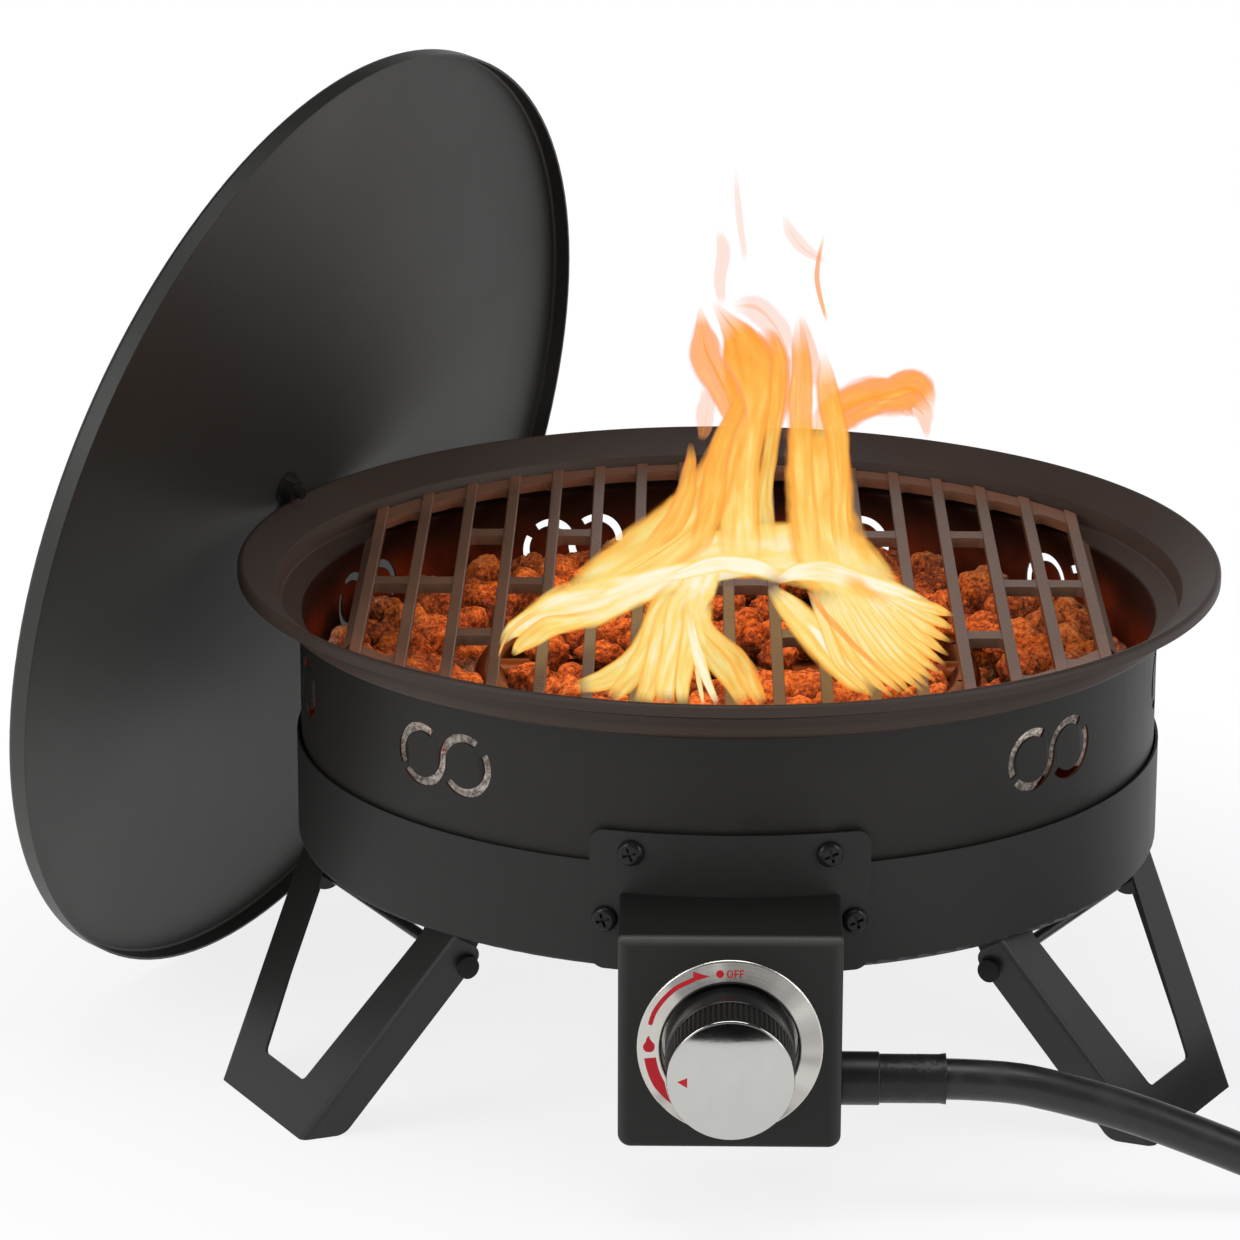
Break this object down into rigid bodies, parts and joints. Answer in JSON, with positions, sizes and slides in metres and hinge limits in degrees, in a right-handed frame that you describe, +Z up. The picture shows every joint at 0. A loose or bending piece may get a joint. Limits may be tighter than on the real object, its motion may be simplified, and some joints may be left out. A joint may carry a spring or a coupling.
{
  "type": "tabletop gas fire pit",
  "caption": "Round tabletop gas fire pit with grate, lava rocks, valve knob, hose with regulator, folding legs and a lid leaning on its rim.",
  "frame": {"origin": "on the floor under the bowl's axis", "axes": "+Z up along the bowl's axis, -Y to the front where the knob is, +X to the side where the hose leaves"},
  "size_m": [0.8944, 0.6152, 0.4799],
  "materials": {
    "bowl_paint": "satin",
    "pan_paint": "satin",
    "box_paint": "satin",
    "leg_paint": "satin",
    "lid_paint": "satin",
    "grate_iron": "matte enamel",
    "burner_steel": "heat stained",
    "rock": "rough",
    "zinc_steel": "plated",
    "black_screw": "gloss black",
    "bezel_steel": "brushed",
    "knob_black": "semi gloss",
    "knob_chrome": "polished",
    "brass": "turned",
    "pipe_steel": "drawn",
    "sleeve_black": "matte",
    "hose_rubber": "satin",
    "regulator_paint": "satin",
    "nut_black": "matte",
    "lid_knob_black": "matte"
  },
  "bodies": {
    "base": {"fire_bowl": "bowl_paint", "base_pan": "pan_paint", "spacer_posts": "zinc_steel", "base_screws": "zinc_steel", "base_nuts": "zinc_steel", "burner_ring": "burner_steel", "burner_mixer": "burner_steel", "orifice": "brass", "gas_pipe": "pipe_steel", "lava_rocks": "rock", "mount_plate": "box_paint", "mount_screws": "black_screw", "control_box": "box_paint", "bezel": "bezel_steel", "valve_body": "brass", "inlet_fitting": "brass", "hose_sleeve": "sleeve_black", "hose": "hose_rubber", "hose_coil": "hose_rubber", "hose_tail": "hose_rubber", "regulator_body": "regulator_paint", "regulator_cap": "regulator_paint", "tank_nipple": "brass", "leg_bracket_left": "leg_paint", "leg_bracket_right": "leg_paint", "leg_bracket_rear": "leg_paint"},
    "grate": {"cooking_grate": "grate_iron"},
    "lid": {"lid": "lid_paint", "lid_knob": "lid_knob_black", "lid_screw": "zinc_steel", "lid_washer": "zinc_steel", "lid_nut": "zinc_steel"},
    "push_collar": {"spring_seat": "zinc_steel"},
    "knob": {"knob_skirt": "knob_black", "knob_grip": "knob_black", "knob_cap": "knob_chrome", "valve_stem": "brass"},
    "tank_nut": {"tank_nut": "nut_black"},
    "leg_left": {"leg_left": "leg_paint", "leg_pin_left": "zinc_steel"},
    "leg_right": {"leg_right": "leg_paint", "leg_pin_right": "zinc_steel"},
    "leg_rear": {"leg_rear": "leg_paint", "leg_pin_rear": "zinc_steel"}
  },
  "joints": [
    {"name": "grate_lift", "type": "slide", "parent": "base", "child": "grate", "axis": [0, 0, 1], "range_m": [0, 0.04]},
    {"name": "lid_lift", "type": "slide", "parent": "base", "child": "lid", "axis": [0, 0, 1], "range_m": [0, 0.25]},
    {"name": "knob_push", "type": "slide", "parent": "base", "child": "push_collar", "axis": [0, 1, 0], "range_m": [0, 0.0035], "stiffness_N_per_m": 1200, "springref_m": -0.004},
    {"name": "knob_turn", "type": "hinge", "parent": "push_collar", "child": "knob", "pos_m": [0, -0.285, 0.0897], "axis": [0, -1, 0], "range_deg": [-90, 90]},
    {"name": "tank_nut_turn", "type": "hinge", "parent": "base", "child": "tank_nut", "pos_m": [0.512, 0.098, 0.0263], "axis": [0, 1, 0], "continuous": true},
    {"name": "leg_left_fold", "type": "hinge", "parent": "base", "child": "leg_left", "pos_m": [-0.16357, -0.09443, 0.08748], "axis": [0.5, -0.866, 0], "range_deg": [0, 122]},
    {"name": "leg_right_fold", "type": "hinge", "parent": "base", "child": "leg_right", "pos_m": [0.16357, -0.09443, 0.08748], "axis": [0.5, 0.866, 0], "range_deg": [0, 122]},
    {"name": "leg_rear_fold", "type": "hinge", "parent": "base", "child": "leg_rear", "pos_m": [0, 0.18887, 0.08748], "axis": [-1, 0, 0], "range_deg": [0, 122]}
  ]
}
